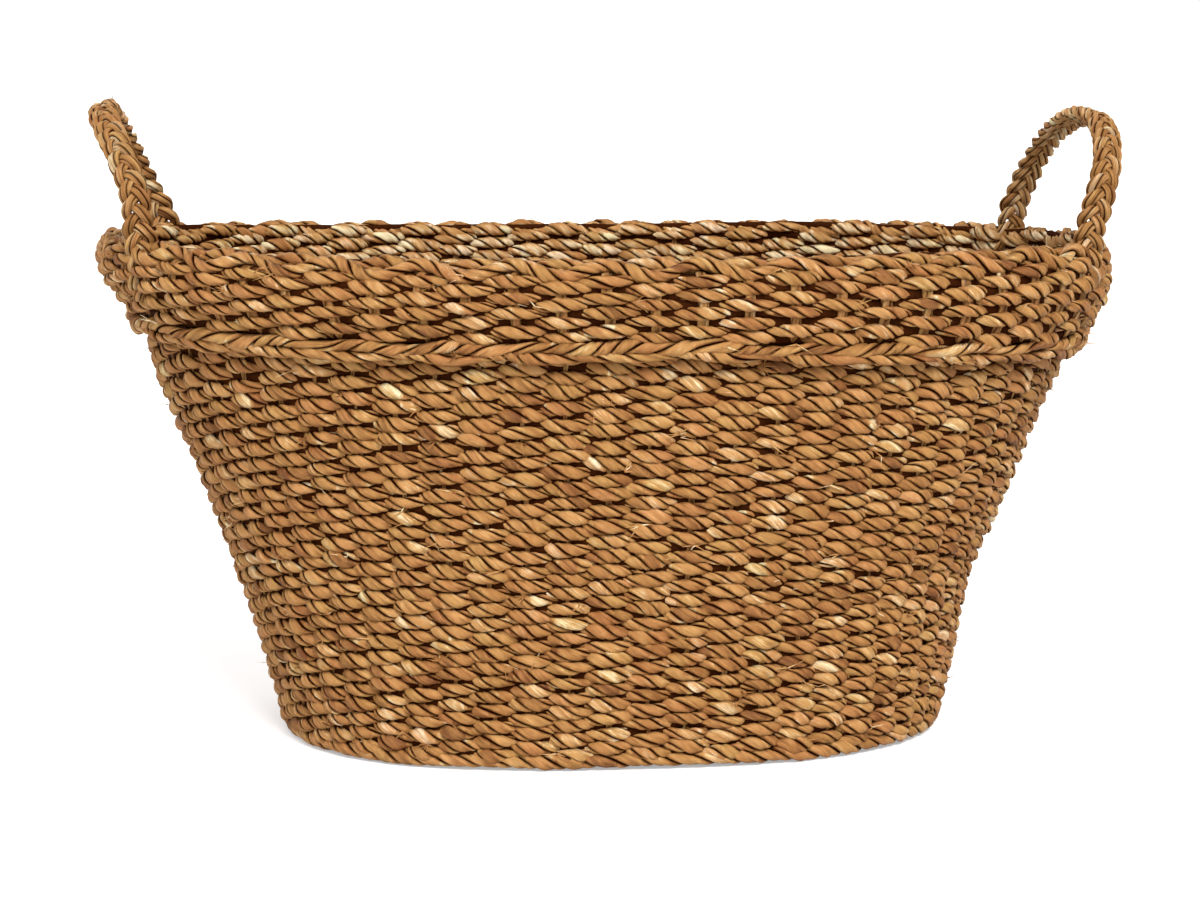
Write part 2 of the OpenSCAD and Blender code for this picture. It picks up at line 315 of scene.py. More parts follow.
def lay_cord(bundle, path, outward, half_out, half_up, theta, closed=True, plies=2, psi=LEAF,
             middle=0.45, deep=0.55, wide=0.86, tone_mid=0.48, tone_spread=0.29, sunk=0.0, taper=0,
             stepped=True, crease=0.13, cavity=0.6, inner_painted_light=0.0, narrow=1.0):
    """Lays one twisted cord. theta is its twist at each ring, in radians.

    half_out and half_up are the cord's half thickness and half height at each ring. Each ply is a
    leaf-shaped tube whose crown is towards the outside of the cord. psi holds the angles round it, and
    middle, deep and wide are its place, depth and half width as shares of the cord's half sizes.
    crease is the depth of the fold along a leaf. taper is the number of rings over which an open end
    narrows. stepped gives every half turn a leaf of its own tone, and without it the tone flows.
    The rest is painted shade and tone: sunk paints shade on the outer face at 1 and the inner one at -1,
    where the cord lies behind the stakes, cavity paints shade on the top and bottom, where the next cord
    lies, inner_painted_light makes the inner face paler as painted light, and a narrow below 1 paints more
    of each leaf's edges in shade.
    """
    n = len(path)
    _, out, up = directions(path, outward, closed)
    run = run_along(path)
    half_out = np.broadcast_to(half_out, n)
    half_up = np.broadcast_to(half_up, n)
    sunk = np.broadcast_to(sunk, n)
    size = np.ones(n)
    if taper:
        edge = np.minimum(np.arange(n), np.arange(n)[::-1]) / taper
        size = np.clip(edge, 0.06, 1) ** 0.5
    for ply in range(plies):
        turn = theta + TURN * ply / plies
        flip = np.floor((turn + math.pi / 2) / math.pi).astype(int)
        first = flip.min()
        count = flip.max() - first + 1
        tones = tone_mid + tone_spread * np.clip(rng.normal(0, LEAF_SPREAD, count), *TONE_LIMITS)
        hues = rng.normal(0, HUE_SPREAD, count)
        fat = 1 + LEAF_SIZE_SPREAD * rng.uniform(-1, 1, count)
        skew = LEAF_SKEW_SPREAD * rng.uniform(-1, 1, count)
        fold = rng.uniform(-FOLD_SPREAD, FOLD_SPREAD, count)
        if closed and count > 2:
            for row in (tones, hues, fat, skew, fold):
                row[-1] = row[0]
        # Size, skew and fold change smoothly along a ply, while tone changes at a leaf's hidden edge
        where = (turn + math.pi / 2) / math.pi - first - 0.5
        knots = np.arange(count)
        fat_now = np.interp(where, knots, fat)[:, None]
        skew_now = np.interp(where, knots, skew)[:, None]
        fold_now = np.interp(where, knots, fold)[:, None]
        crown = np.sign(np.cos(psi)) * np.abs(np.cos(psi)) ** 0.8
        across = np.sin(psi)
        groove = crease * hump(psi[None, :], fold_now, FOLD_WIDTH)
        rad = (middle + deep * crown * (1 + skew_now * across) - groove) * fat_now
        tan = wide * across * fat_now
        c, s = np.cos(turn)[:, None], np.sin(turn)[:, None]
        u = (rad * c - tan * s) * (half_out * size)[:, None]
        v = (rad * s + tan * c) * (half_up * size)[:, None]
        rings = path[:, None, :] + u[..., None] * out[:, None, :] + v[..., None] * up[:, None, :]
        if stepped:
            tone_now, hue_now = tones[flip - first], hues[flip - first]
        else:
            tone_now, hue_now = np.interp(where, knots, tones), np.interp(where, knots, hues)
        facing = c * np.cos(psi)[None, :] - s * np.sin(psi)[None, :]
        tone = tone_now[:, None] + TONE_ACROSS * np.sin(psi[None, :] * 1.7 + 9 * fold_now)
        # Painted light: the inner face of the cord is paler
        tone = tone + inner_painted_light * np.clip(-facing, 0, 1)
        # Painted shade at the leaf's edges, where it tucks under its neighbour
        from_crown = np.abs((psi + math.pi) % TURN - math.pi)
        edge = np.interp(from_crown / narrow, EDGE_ANGLES, EDGE_SHADES)[None, :]
        # Painted shade in the fold along the leaf
        edge = edge * (1 - FOLD_PAINTED_SHADE * groove)
        # Painted shade on the face that lies behind the stakes
        shade = edge * (1 - SUNK_PAINTED_SHADE * np.clip(sunk[:, None] * facing, 0, 1))
        # Painted shade at the cord's top and bottom, where the next cord lies
        shade = shade * (1 - cavity * (1 - smooth((np.abs(facing) - 0.08) / 0.5)))
        leaf_place = rng.uniform(0, GRAIN_RANGE) + GRAIN_STEP * (flip - first)
        grain = np.stack([np.broadcast_to(across * GRAIN_WIDTH, u.shape),
                          np.broadcast_to(leaf_place[:, None], u.shape),
                          np.broadcast_to(run[:, None], u.shape)], -1)
        bundle.tube(rings, tone, np.broadcast_to(hue_now[:, None], u.shape), shade, grain, closed)


# A tube of painted shade has one ring for every CORE_STRIDE rings of its course
CORE_SIDES = 6
CORE_STRIDE = 4
CORE_HALF_OUT, CORE_HALF_UP = 1.5, 3.7
CORE_SHADE = 0.04


def painted_shade_tube(bundle, path, outward, half_out, half_up):
    """A dark tube of painted shade in the middle of a course, which closes the gaps of the weave."""
    _, out, up = directions(path, outward, True)
    ring = np.arange(CORE_SIDES) * TURN / CORE_SIDES
    rings = path[:, None, :] + half_out * np.sin(ring)[None, :, None] * out[:, None, :] \
        + half_up * np.cos(ring)[None, :, None] * up[:, None, :]
    flat = np.zeros(rings.shape[:2])
    bundle.tube(rings, flat, flat, flat + CORE_SHADE, rings, True)


def course_cord(bundle, share, z, mid_off, out_amp, in_amp, phase, pitch, half_out, half_up,
                cross_up, jitter, inner_painted_light=0.0):
    """One closed course of the weave: a cord that passes before and behind the stakes by turns.

    It swings by out_amp and in_amp about mid_off from the wall, and odd and even phases swing in
    opposite ways. pitch is the length of one twist. half_up shrinks to cross_up where the cord crosses
    from one face to the other.
    """
    beat = np.cos(math.pi * (STAKES * share - 0.5 - phase))
    swing = np.sign(beat) * np.abs(beat) ** 0.75
    amp = np.where(swing > 0, out_amp, in_amp) * (1 + 0.2 * wave(share, 64))
    off = mid_off + amp * swing + 0.5 * wave(share, 64)
    height = z + jitter * wave(share, 48) + 0.6 * jitter * wave(share, 110)
    path = on_wall(share, height, off)
    flat = off_wall(share, height, mid_off)
    twists = round(round_length(path) / pitch)
    theta = -TURN * (twists * share + rng.uniform()) + 1.2 * wave(share, 60)
    squeeze = np.abs(beat) ** 0.9
    half_up = half_up * (1 + 0.07 * rng.uniform(-1, 1))
    up = (cross_up + (half_up - cross_up) * squeeze) * (1 + 0.15 * wave(share, 64))
    out = half_out * (1 + 0.14 * wave(share, 64)) * (1.0 - 0.1 * (1 - squeeze))
    # Painted shade on whichever face of the cord passes behind the stakes
    sunk = -np.clip(1.3 * swing, -1, 1)
    lay_cord(bundle, path, flat, out, up, theta, sunk=sunk, inner_painted_light=inner_painted_light)
    # A dark tube of painted shade fills the gaps between the courses
    apart = slice(None, None, CORE_STRIDE)
    slope = unit(on_wall(share, height + 2, mid_off) - on_wall(share, height - 2, mid_off))
    level_out = flat - (flat * slope).sum(-1, keepdims=True) * slope
    painted_shade_tube(bundle, on_wall(share, height, mid_off)[apart], level_out[apart], CORE_HALF_OUT, CORE_HALF_UP)


# One broken fibre is a flat strip that thins towards its tip
FIBRE_RINGS, FIBRE_SIDES = 6, 4
FIBRE_HALF_THICK = 0.16


def tuft(bundle, spot, outward, along, fibres, longest=10.0, tangle=0.45, tones=(0.35, 0.95)):
    """Broken fibres that curl away from a cord. tangle is how far they stray from its direction."""
    for _ in range(fibres):
        reach, curl = rng.uniform(0.4, 1) * longest, rng.uniform(0.08, 0.32) * longest
        way = unit(along * rng.choice((-1, 1)) + rng.normal(0, tangle, 3))
        at = np.linspace(0, 1, FIBRE_RINGS)[:, None]
        path = spot + way * reach * at + outward * curl * at ** 1.6 + rng.normal(0, 0.5, 3) * at ** 2
        _, out, up = directions(path, np.broadcast_to(outward, path.shape), False)
        ring = np.arange(FIBRE_SIDES) * TURN / FIBRE_SIDES
        half_w, half_t = rng.uniform(0.25, 0.6), FIBRE_HALF_THICK
        thin = (1 - 0.8 * at)[:, :, None]
        rings = path[:, None, :] + thin * (half_w * np.cos(ring)[None, :, None] * up[:, None, :]
                                           + half_t * np.sin(ring)[None, :, None] * out[:, None, :])
        flat = np.ones((FIBRE_RINGS, FIBRE_SIDES))
        grain = np.stack([flat * rng.uniform(0, 50), flat, flat * at * reach], -1)
        bundle.tube(rings, flat * rng.uniform(*tones), flat * rng.normal(0, 0.5), flat, grain, False)


# ---- Materials ------------------------------------------------------------------------------------

def add(nodes, kind, **values):
    """Adds a node and sets its properties."""
    node = nodes.new(kind)
    for key, value in values.items():
        setattr(node, key, value)
    return node


# Colours of the leaf from its darkest tone to its palest and of its rusty patches, and the near-black
# colour of the painted shade in its seams and gaps
DARK = (0.15, 0.052, 0.014)
MID = (0.37, 0.165, 0.050)
LIGHT = (0.54, 0.290, 0.105)
PALE = (0.84, 0.69, 0.47)
RUST = (0.27, 0.088, 0.020)
PAINTED_SHADE_COLOUR = (0.020, 0.0025, 0.0005)
MID_TONE, LIGHT_TONE = 0.34, 0.78
GREENISH, PINKISH = (0.98, 1.04, 0.90), (1.04, 0.955, 0.93)
ROUGHNESS, ROUGHNESS_SPREAD = 0.48, 0.25
GLOSS = 0.24
# Stretch of the noise across, between and along the leaves
STREAK_STRETCH, FINE_STRETCH = (2.2, 1.0, 0.16), (5.0, 1.0, 0.30)
STREAK, FINE_STREAK, CLOUD = 1.05, 1.05 * 0.95, 0.25
RELIEF, RELIEF_DEPTH = 0.7, 0.0009


def fibre(name, patch=0.35):
    """Dried seagrass leaf: a tone for each leaf, lengthwise streaks, rusty patches, and painted shade in
    the seams and gaps.
    """
    material = bpy.data.materials.new(name)
    material.use_nodes = True
    nodes, links = material.node_tree.nodes, material.node_tree.links
    shader = nodes["Principled BSDF"]
    tone = add(nodes, "ShaderNodeAttribute", attribute_name="tone")
    hue = add(nodes, "ShaderNodeAttribute", attribute_name="hue")
    shade = add(nodes, "ShaderNodeAttribute", attribute_name="shade")
    grain = add(nodes, "ShaderNodeAttribute", attribute_name="grain")
    coord = add(nodes, "ShaderNodeTexCoord")

    def noise(vector, scale, stretch, detail):
        mapping = add(nodes, "ShaderNodeMapping")
        mapping.inputs["Scale"].default_value = stretch
        links.new(vector, mapping.inputs["Vector"])
        tex = add(nodes, "ShaderNodeTexNoise")
        tex.inputs["Scale"].default_value = scale
        tex.inputs["Detail"].default_value = detail
        tex.inputs["Roughness"].default_value = 0.6
        links.new(mapping.outputs["Vector"], tex.inputs["Vector"])
        return tex.outputs["Fac"]

    def maths(operation, a, b, c=None, clamp=False):
        node = add(nodes, "ShaderNodeMath", operation=operation, use_clamp=clamp)
        for socket, value in zip(node.inputs, (a, b, c)):
            if value is None:
                continue
            if isinstance(value, (int, float)):
                socket.default_value = value
            else:
                links.new(value, socket)
        return node.outputs[0]

    def blend_colour(kind, fac, a, b):
        node = add(nodes, "ShaderNodeMix", data_type="RGBA", blend_type=kind)
        for socket, value in ((node.inputs[0], fac), (node.inputs[6], a), (node.inputs[7], b)):
            if isinstance(value, (int, float)):
                socket.default_value = value
            elif isinstance(value, tuple):
                socket.default_value = (*value, 1)
            else:
                links.new(value, socket)
        return node.outputs[2]

    streaks = noise(grain.outputs["Vector"], 1.0, STREAK_STRETCH, 3.0)
    fine = noise(grain.outputs["Vector"], 1.0, FINE_STRETCH, 3.0)
    patches = noise(coord.outputs["Object"], 55.0, (1, 1, 1), 3.0)
    broad = noise(coord.outputs["Object"], 14.0, (1, 1, 1), 2.0)

    level = maths("MULTIPLY_ADD", maths("SUBTRACT", streaks, 0.5), STREAK, 0.0)
    level = maths("ADD", level, tone.outputs["Fac"])
    level = maths("ADD", level, maths("MULTIPLY", maths("SUBTRACT", fine, 0.5), FINE_STREAK))
    level = maths("ADD", level, maths("MULTIPLY", maths("SUBTRACT", broad, 0.5), CLOUD), clamp=True)
    ramp = add(nodes, "ShaderNodeValToRGB")
    stops = ramp.color_ramp.elements
    stops[0].position = 0.0
    stops[0].color = (*DARK, 1)
    stops[1].position = 1.0
    stops[1].color = (*PALE, 1)
    for position, colour in ((MID_TONE, MID), (LIGHT_TONE, LIGHT)):
        stop = stops.new(position)
        stop.color = (*colour, 1)
    links.new(level, ramp.inputs["Fac"])
    rusty = maths("MULTIPLY", maths("SUBTRACT", patches, 0.5, clamp=True), patch * 6, clamp=True)
    warmth = maths("MULTIPLY_ADD", hue.outputs["Fac"], 0.5, 0.5, clamp=True)
    tint = blend_colour("MIX", warmth, GREENISH, PINKISH)
    colour = blend_colour("MIX", rusty, ramp.outputs["Color"], RUST)
    colour = blend_colour("MULTIPLY", 1.0, colour, tint)
    # Painted shade: where the shade attribute is low, the colour goes to near black
    shade_mix = maths("SUBTRACT", 1.0, maths("POWER", shade.outputs["Fac"], 0.7), clamp=True)
    deep = blend_colour("MIX", shade_mix, colour, PAINTED_SHADE_COLOUR)
    links.new(deep, shader.inputs["Base Color"])
    roughness = maths("MULTIPLY_ADD", fine, ROUGHNESS_SPREAD, ROUGHNESS)
    links.new(roughness, shader.inputs["Roughness"])
    # The painted shade dims the gloss as well
    links.new(maths("MULTIPLY", shade.outputs["Fac"], GLOSS), shader.inputs["Specular IOR Level"])
    relief = add(nodes, "ShaderNodeBump")
    relief.inputs["Strength"].default_value = RELIEF
    relief.inputs["Distance"].default_value = RELIEF_DEPTH
    links.new(maths("ADD", streaks, maths("MULTIPLY", fine, 0.5)), relief.inputs["Height"])
    links.new(relief.outputs["Normal"], shader.inputs["Normal"])
    return material


weave_fibre = fibre("weave_fibre")
stake_fibre = fibre("stake_fibre", patch=0.2)
border_fibre = fibre("border_fibre", patch=0.4)
plait_fibre = fibre("plait_fibre", patch=0.45)


def settle(bundle, name, material, slot, *nodes):
    """Makes the piece, which rides on the basket and replaces the CAD nodes named."""
    thing = bundle.piece(name, material)
    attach(thing, "basket")
    if nodes:
        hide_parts(*nodes)
    return thing


# ---- Wall -----------------------------------------------------------------------------------------

RINGS = STAKES * 10
shares = np.arange(RINGS) / RINGS
WALL_TOP = RIM_H - 7.0
WALL_MID = -5.4
# The courses stand FOOT_STEP apart at the foot and STEP_GAIN more at the top. BAND of them make a piece.
FOOT_STEP, STEP_GAIN = 4.05, 0.45
BAND = 6
levels = [foot_high[2] + 3.0]
while levels[-1] < WALL_TOP:
    climb = levels[-1] / WALL_TOP
    levels.append(levels[-1] + FOOT_STEP + STEP_GAIN * climb)
for first in range(0, len(levels), BAND):
    bundle = Bundle()
    for c in range(first, min(first + BAND, len(levels))):
        z = levels[c] + 0 * shares
        # The inner face of the wall is painted paler, as painted light
        course_cord(bundle, shares, z, mid_off=WALL_MID, out_amp=3.4, in_amp=3.0, phase=c,
                    pitch=23.0, half_out=2.6, half_up=3.9, cross_up=2.6, jitter=0.95, inner_painted_light=0.36)
    band = first // BAND
    thing = settle(bundle, f"wall_band_{band}", weave_fibre, "weave_cord")
    if band == 0:
        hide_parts("wall_weave")

# ---- Cuff, hem and rim ----------------------------------------------------------------------------

RIM_RINGS = STAKES * 12
rim_shares = np.arange(RIM_RINGS) / RIM_RINGS
hem = hem_z(round_angle(rim_shares, RIM_H))
cuff_z0 = hem + HEM_H + GAP
# The first course stands CUFF_FIRST over the cuff's foot, and the last one at the height CUFF_LAST
CUFF_COURSES = 8
CUFF_FIRST, CUFF_LAST = 3.0, RIM_H - 10.5
bundle = Bundle()
for c in range(CUFF_COURSES):
    if c == CUFF_COURSES // 2:
        settle(bundle, "cuff_courses_low", weave_fibre, "weave_cord", "cuff_weave")
        bundle = Bundle()
    z = cuff_z0 + CUFF_FIRST + (CUFF_LAST - cuff_z0 - CUFF_FIRST) * c / (CUFF_COURSES - 1)
    mid = GAP + cuff_t(z, cuff_z0) + WALL_MID
    # The courses are slimmer where the cuff is less tall
    room = np.clip((RIM_H - cuff_z0) / 53, 0.7, 1)
    course_cord(bundle, rim_shares, z, mid_off=mid, out_amp=3.6, in_amp=3.0, phase=c, pitch=24.0,
                half_out=2.8, half_up=4.3 * room, cross_up=2.6 * room, jitter=0.9)
settle(bundle, "cuff_courses_high", weave_fibre, "weave_cord")

# Two cords twisted in opposite directions: height over the hem's edge, distance off the wall, direction
HEM_CORDS = ((2.4, 3.6, -1), (6.8, 4.4, 1))
HEM_PITCH = 29.0
bundle = Bundle()
for rise, stand, lean in HEM_CORDS:
    z = hem + rise + 1.1 * wave(rim_shares, 48) + 1.0 * lean * np.cos(math.pi * STAKES * rim_shares)
    path = on_wall(rim_shares, z, GAP * 2 + stand)
    flat = off_wall(rim_shares, z, 0)
    twists = round(round_length(path) / HEM_PITCH)
    theta = lean * TURN * (twists * rim_shares) + 1.9 * wave(rim_shares, 60)
    lay_cord(bundle, path, flat, 3.4, 3.3 * (1 + 0.26 * wave(rim_shares, 64)), theta)
settle(bundle, "hem_border", border_fibre, "border_cord", "hem_braid")

# Outer and inner cord: distance off the wall, height over the rim, and how far it weaves up and out
RIM_CORDS = ((3.2, -5.3, -3.2, 1.8), (-5.2, -4.4, 2.1, 1.0))
RIM_PITCH = 25.0
RIM_LINE = RIM_H - 8.5
bundle = Bundle()
beat = np.cos(math.pi * (STAKES * rim_shares - 0.5))
for off, rise, swing, sway in RIM_CORDS:
    z = RIM_H + rise + swing * beat + 0.5 * wave(rim_shares, 48)
    path = on_wall(rim_shares, RIM_LINE + 0 * z, off + sway * beat + 0.4 * wave(rim_shares, 40))
    path[:, 2] += z - RIM_LINE
    flat = off_wall(rim_shares, z, off)
    twists = round(round_length(path) / RIM_PITCH)
    theta = -TURN * (twists * rim_shares + rng.uniform()) + 0.6 * wave(rim_shares, 60)
    lay_cord(bundle, path, flat, 3.5, 3.7 * (1 + 0.16 * wave(rim_shares, 64)), theta)
settle(bundle, "rim_cords", border_fibre, "border_cord", "rim_cord")

# ---- Foot and base --------------------------------------------------------------------------------

FOOT_Z, FOOT_IN, FOOT_PITCH = 5.5, 4.6, 28.0
bundle = Bundle()
z = FOOT_Z + 0.3 * wave(shares, 40)
path = on_wall(shares, z, -FOOT_IN)
flat = off_wall(shares, z, 0)
twists = round(round_length(path) / FOOT_PITCH)
theta = -TURN * (twists * shares) + 0.4 * wave(shares, 60)
lay_cord(bundle, path, flat, 4.1, 4.0 * (1 + 0.06 * wave(shares, 50)), theta)
settle(bundle, "foot_cord", border_fibre, "border_cord", "foot_border")

# Closed rounds, BASE_STEP apart, from BASE_INSET inside the foot's edge to the middle
BASE_MID = 6.0
BASE_STEP, BASE_INSET = 5.4, 11.0
BASE_TWIST = 21.0
BASE_RING_GAP, SMALLEST_ROUND = 2.4, 5
BASE_HALF_OUT, BASE_HALF_UP = 2.3, 3.3
outermost = FOOT_HALF_W - BASE_INSET
bundle = Bundle()
for c in range(int(outermost / BASE_STEP)):
    inset = BASE_INSET + c * BASE_STEP
    a, b = FOOT_HALF_L - inset, FOOT_HALF_W - inset
    if b < SMALLEST_ROUND:
        break
    ratio = b / outermost
    count = max(96, int(TURN / 4 * (a + b) / BASE_RING_GAP))
    s = np.arange(count) / count
    square = 2.0 + (FOOT_SQUARE - 2.0) * ratio
    ang = round_angle(s, 0.0)
    r = oval_r(a, b, square, ang)
    # Every other ray ends on the way in, and then every other of the rest
    stakes_here = STAKES if ratio > 0.62 else STAKES // 2 if ratio > 0.32 else STAKES // 4
    beat = np.cos(math.pi * (stakes_here * s - 0.5 - c))
    z = BASE_MID + 1.8 * np.sign(beat) * np.abs(beat) ** 0.8 + 0.2 * wave(s, 20)
    path = np.stack([r * np.cos(ang), r * np.sin(ang), z], -1)
    flat = np.zeros_like(path)
    flat[:, 2] = -1.0
    theta = -TURN * (round(round_length(path) / BASE_TWIST) * s + rng.uniform())
    half_up = BASE_HALF_UP * (1 + 0.08 * wave(s, 30))
    lay_cord(bundle, path, flat, BASE_HALF_OUT, half_up, theta, psi=THIN_LEAF)
    # A dark tube of painted shade closes the gaps between the rounds
    path[:, 2] = BASE_MID
    painted_shade_tube(bundle, path, flat, 1.0, 3.4)
# Two straight cords fill the slot that is left in the middle
middle_x = np.linspace(-1, 1, 40) * (FOOT_HALF_L - FOOT_HALF_W + 4)
path = np.stack([middle_x, 0 * middle_x, BASE_MID + 0 * middle_x], -1)
flat = np.broadcast_to((0.0, 0.0, -1.0), path.shape)
for y in (-3.0, 3.0):
    lay_cord(bundle, path + np.array([0, y, 0]), flat, BASE_HALF_OUT, BASE_HALF_UP,
             -TURN * middle_x / BASE_TWIST, closed=False, psi=THIN_LEAF, taper=2)
settle(bundle, "base_courses", weave_fibre, "weave_cord", "base_weave")

# ---- Stakes ---------------------------------------------------------------------------------------

# The fold over the rim is a half ring: its lowest height, half its width and its rise
FOLD_Z, FOLD_HALF, FOLD_RISE = RIM_H - 11.5, 5.3, 4.5
STAKE_HALF_UP = 1.9
# A stake is stouter in its last part, which shows in the cuff
STOUT_FROM, SLIM, STOUT = 0.83, 2.4, 3.3
STAKE_TWIST, STAKE_RING_GAP = 75.0, 3.0
# Height at which the sideways direction of a stake is read
SIDE_Z = 200.0
# Each group is a quarter of the stakes, from this share of the way round
QUARTERS = (("stakes_front", 0.625), ("stakes_back", 0.125),
            ("stakes_left_end", 0.375), ("stakes_right_end", 0.875))


def stake_line(i):
    """Middle line of one stake: base, wall, over the fold, down inside the cuff."""
    share = (i + 0.5) / STAKES
    low = float(round_angle(np.array(share), np.array(0.0)))
    # Where its ray begins, as a share of the way from the base's middle to the foot
    start = 0.22 if i % 4 == 0 else 0.42 if i % 2 == 0 else 0.66
    edge = skin(np.array(low), np.array(0.0), -14.0)
    points = [[edge[0] * f, edge[1] * f, BASE_MID] for f in np.linspace(start, 1, 14)]
    for z in np.linspace(15, RIM_H - 19, 60):
        points.append(on_wall(np.array(share), np.array(z), WALL_MID))
    for ang in math.pi * np.arange(9) / 8:
        points.append(on_wall(np.array(share), np.array(FOLD_Z + FOLD_RISE * math.sin(ang)),
                              WALL_MID + FOLD_HALF * (1 - math.cos(ang))))
    rim = float(round_angle(np.array(share), np.array(RIM_H)))
    z0 = float(hem_z(rim)) + HEM_H + GAP
    for z in np.linspace(RIM_H - 17, z0 + 1, 16):
        points.append(on_wall(np.array(share), np.array(z), GAP + cuff_t(z, z0) - 4.0))
    return np.array(points)


for name, start_share in QUARTERS:
    bundle = Bundle()
    for k in range(STAKES // 4):
        i = (int(start_share * STAKES) + k) % STAKES
        corners = stake_line(i)
        path, at, _ = resample(corners, int(run_along(corners)[-1] / STAKE_RING_GAP))
        side = on_wall(np.array((i + 0.6) / STAKES), np.array(SIDE_Z), 0) \
            - on_wall(np.array((i + 0.4) / STAKES), np.array(SIDE_Z), 0)
        theta = -TURN * (at / STAKE_TWIST + rng.uniform())
        half_side = np.where(at > at[-1] * STOUT_FROM, STOUT, SLIM)
        # narrow paints more of each leaf's edges in shade
        lay_cord(bundle, path, np.broadcast_to(side, path.shape), half_side, STAKE_HALF_UP, theta,
                 closed=False, plies=3, psi=THIN_LEAF, middle=0.42, wide=0.6, taper=2,
                 tone_mid=0.5, stepped=False, narrow=0.8)
    settle(bundle, name + "_cords", stake_fibre, "stake_cord", name)

# ---- Broken fibres --------------------------------------------------------------------------------

TUFTS, KNOTS = 260, 60
KNOT_FIBRES = 14
bundle = Bundle()
for k in range(TUFTS + KNOTS):
    share, z = np.array(rng.uniform()), np.array(rng.uniform(10, RIM_H - 4))
    above_hem = z > hem_z(round_angle(share, z))
    stand = CUFF_STAND - 2.0 if above_hem else -1.2
    spot = on_wall(share, z, stand)
    outward = unit(on_wall(share, z, stand + 5) - spot)
    ahead = unit(on_wall(share + 0.002, z, stand) - spot)
    if k < TUFTS:
        tuft(bundle, spot, outward, ahead, rng.integers(2, 6))
    else:
        tuft(bundle, spot, outward, ahead, KNOT_FIBRES, longest=6.5, tangle=0.9, tones=(0.05, 0.7))
settle(bundle, "broken_fibres", weave_fibre, "weave_cord")

# ---- Handles --------------------------------------------------------------------------------------

# Share of the way round at which a handle's foot stands: four stakes from the end of the basket
FOOT_SHARE = 4 / STAKES
HINGE_Z = RIM_H + 5
ROOT_LIFT = 3.8
# How deep the plait goes down under the hinge, and its slope there
TAIL_DEPTH, TAIL_RINGS, TAIL_SLOPE = 34, 20, 0.10
PLAIT_TURNS = 9
# How far a strand swings across the plait and through it, and across it at the feet, which take up
# FOOT_PART of the arch at either side
PLAIT_WIDE, PLAIT_DEEP, FOOT_WIDE = 5.3, 2.4, 6.2
FOOT_PART = 0.07
LEAF_TWIST = 80.0
# Each handle as the photo shows it: height, outward lean, shift of both feet towards +X, skew of the
# feet and further skew of the crown, inward bow of the legs, and number of places with broken fibres
HANDLE_RISE = {"left": 75.0, "right": 65.5}
LEAN = {"left": math.radians(21.0), "right": math.radians(18.8)}
FOOT_SHIFT = {"left": 0.5, "right": 2.5}
FOOT_SKEW = {"left": -0.5, "right": 3.0}
CROWN_SKEW = {"left": 5.2, "right": 0.0}
BOW = {"left": 3.0, "right": 0.0}
FRAYED_PLACES = {"left": 14, "right": 8}


def arch(side, name, count=420):
    """Evenly spaced points of a handle's middle line, which goes down into the rim at both feet.

    Also gives each point's share of the way from foot to foot, and its distance from the start.
    """
    foot_x, foot_y = (abs(v) for v in on_wall(np.array(FOOT_SHARE), np.array(RIM_LINE), -0.4)[:2])
    foot_x += side * FOOT_SHIFT[name]
    lean = LEAN[name]
    up = np.array([side * math.sin(lean), 0, math.cos(lean)])
    ang = np.linspace(0, math.pi, 241)
    r = oval_r(foot_y, HANDLE_RISE[name], RIM_SQUARE, ang)
    middle = np.array([side * foot_x, 0, HINGE_Z]) + (r * np.sin(ang) + ROOT_LIFT)[:, None] * up
    middle[:, 1] = -r * np.cos(ang)
    climb = (middle[:, 2] - HINGE_Z) / HANDLE_RISE[name]
    skew = FOOT_SKEW[name] + CROWN_SKEW[name] * smooth(climb * 2)
    bow = side * BOW[name] * np.sin(math.pi * np.clip(climb, 0, 1))
    middle[:, 0] -= skew * middle[:, 1] / foot_y + bow
    drop = np.linspace(TAIL_DEPTH, 1.5, TAIL_RINGS)[:, None]
    into = np.array([-side * TAIL_SLOPE, 0, -1.0])
    start = middle[0] + drop * into
    end = middle[-1] + drop[::-1] * into
    path, at, run = resample(np.concatenate([start, middle, end]), count)
    first, last = run[TAIL_RINGS], run[-TAIL_RINGS - 1]
    return path, (at - first) / (last - first), at


for name, side in (("left", -1), ("right", 1)):
    path, share, at = arch(side, name)
    lean = LEAN[name]
    across = np.array([math.cos(lean), 0, -side * math.sin(lean)])
    along, wide_way, _ = directions(path, np.broadcast_to(across, path.shape), False)
    through = np.cross(along, wide_way)
    gather = np.clip(np.minimum(share, 1 - share) / FOOT_PART, 0, 1)
    bundle = Bundle()
    for which in range(3):
        phase = TURN * (PLAIT_TURNS * share + which / 3) + math.pi / 2
        wide = (PLAIT_WIDE * gather + FOOT_WIDE * (1 - gather)) * np.sin(phase)
        deep = PLAIT_DEEP * np.sin(2 * phase)
        line = path + wide[:, None] * wide_way + deep[:, None] * through
        theta = TURN * (at / LEAF_TWIST + rng.uniform())
        # cavity and narrow paint shade between the plait's leaves
        lay_cord(bundle, line, wide_way, 3.5, 3.0, theta, closed=False, plies=4,
                 middle=0.46, deep=0.52, wide=0.5, taper=3, tone_mid=0.64, tone_spread=0.34,
                 stepped=False, crease=0.2, cavity=0.3, narrow=0.6)
    for k in rng.integers(40, len(path) - 40, FRAYED_PLACES[name]):
        outward = unit(rng.normal(0, 1, 3) + 0.3 * wide_way[k])
        tuft(bundle, path[k] + 5.0 * outward, outward, along[k], 3)
    thing = bundle.piece(f"{name}_handle_plait", plait_fibre)
    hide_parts(*(f"{name}_handle_strand_{k}" for k in "abc"), f"{name}_handle_tails")
    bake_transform(thing)

# ---- Floor, light and camera ----------------------------------------------------------------------

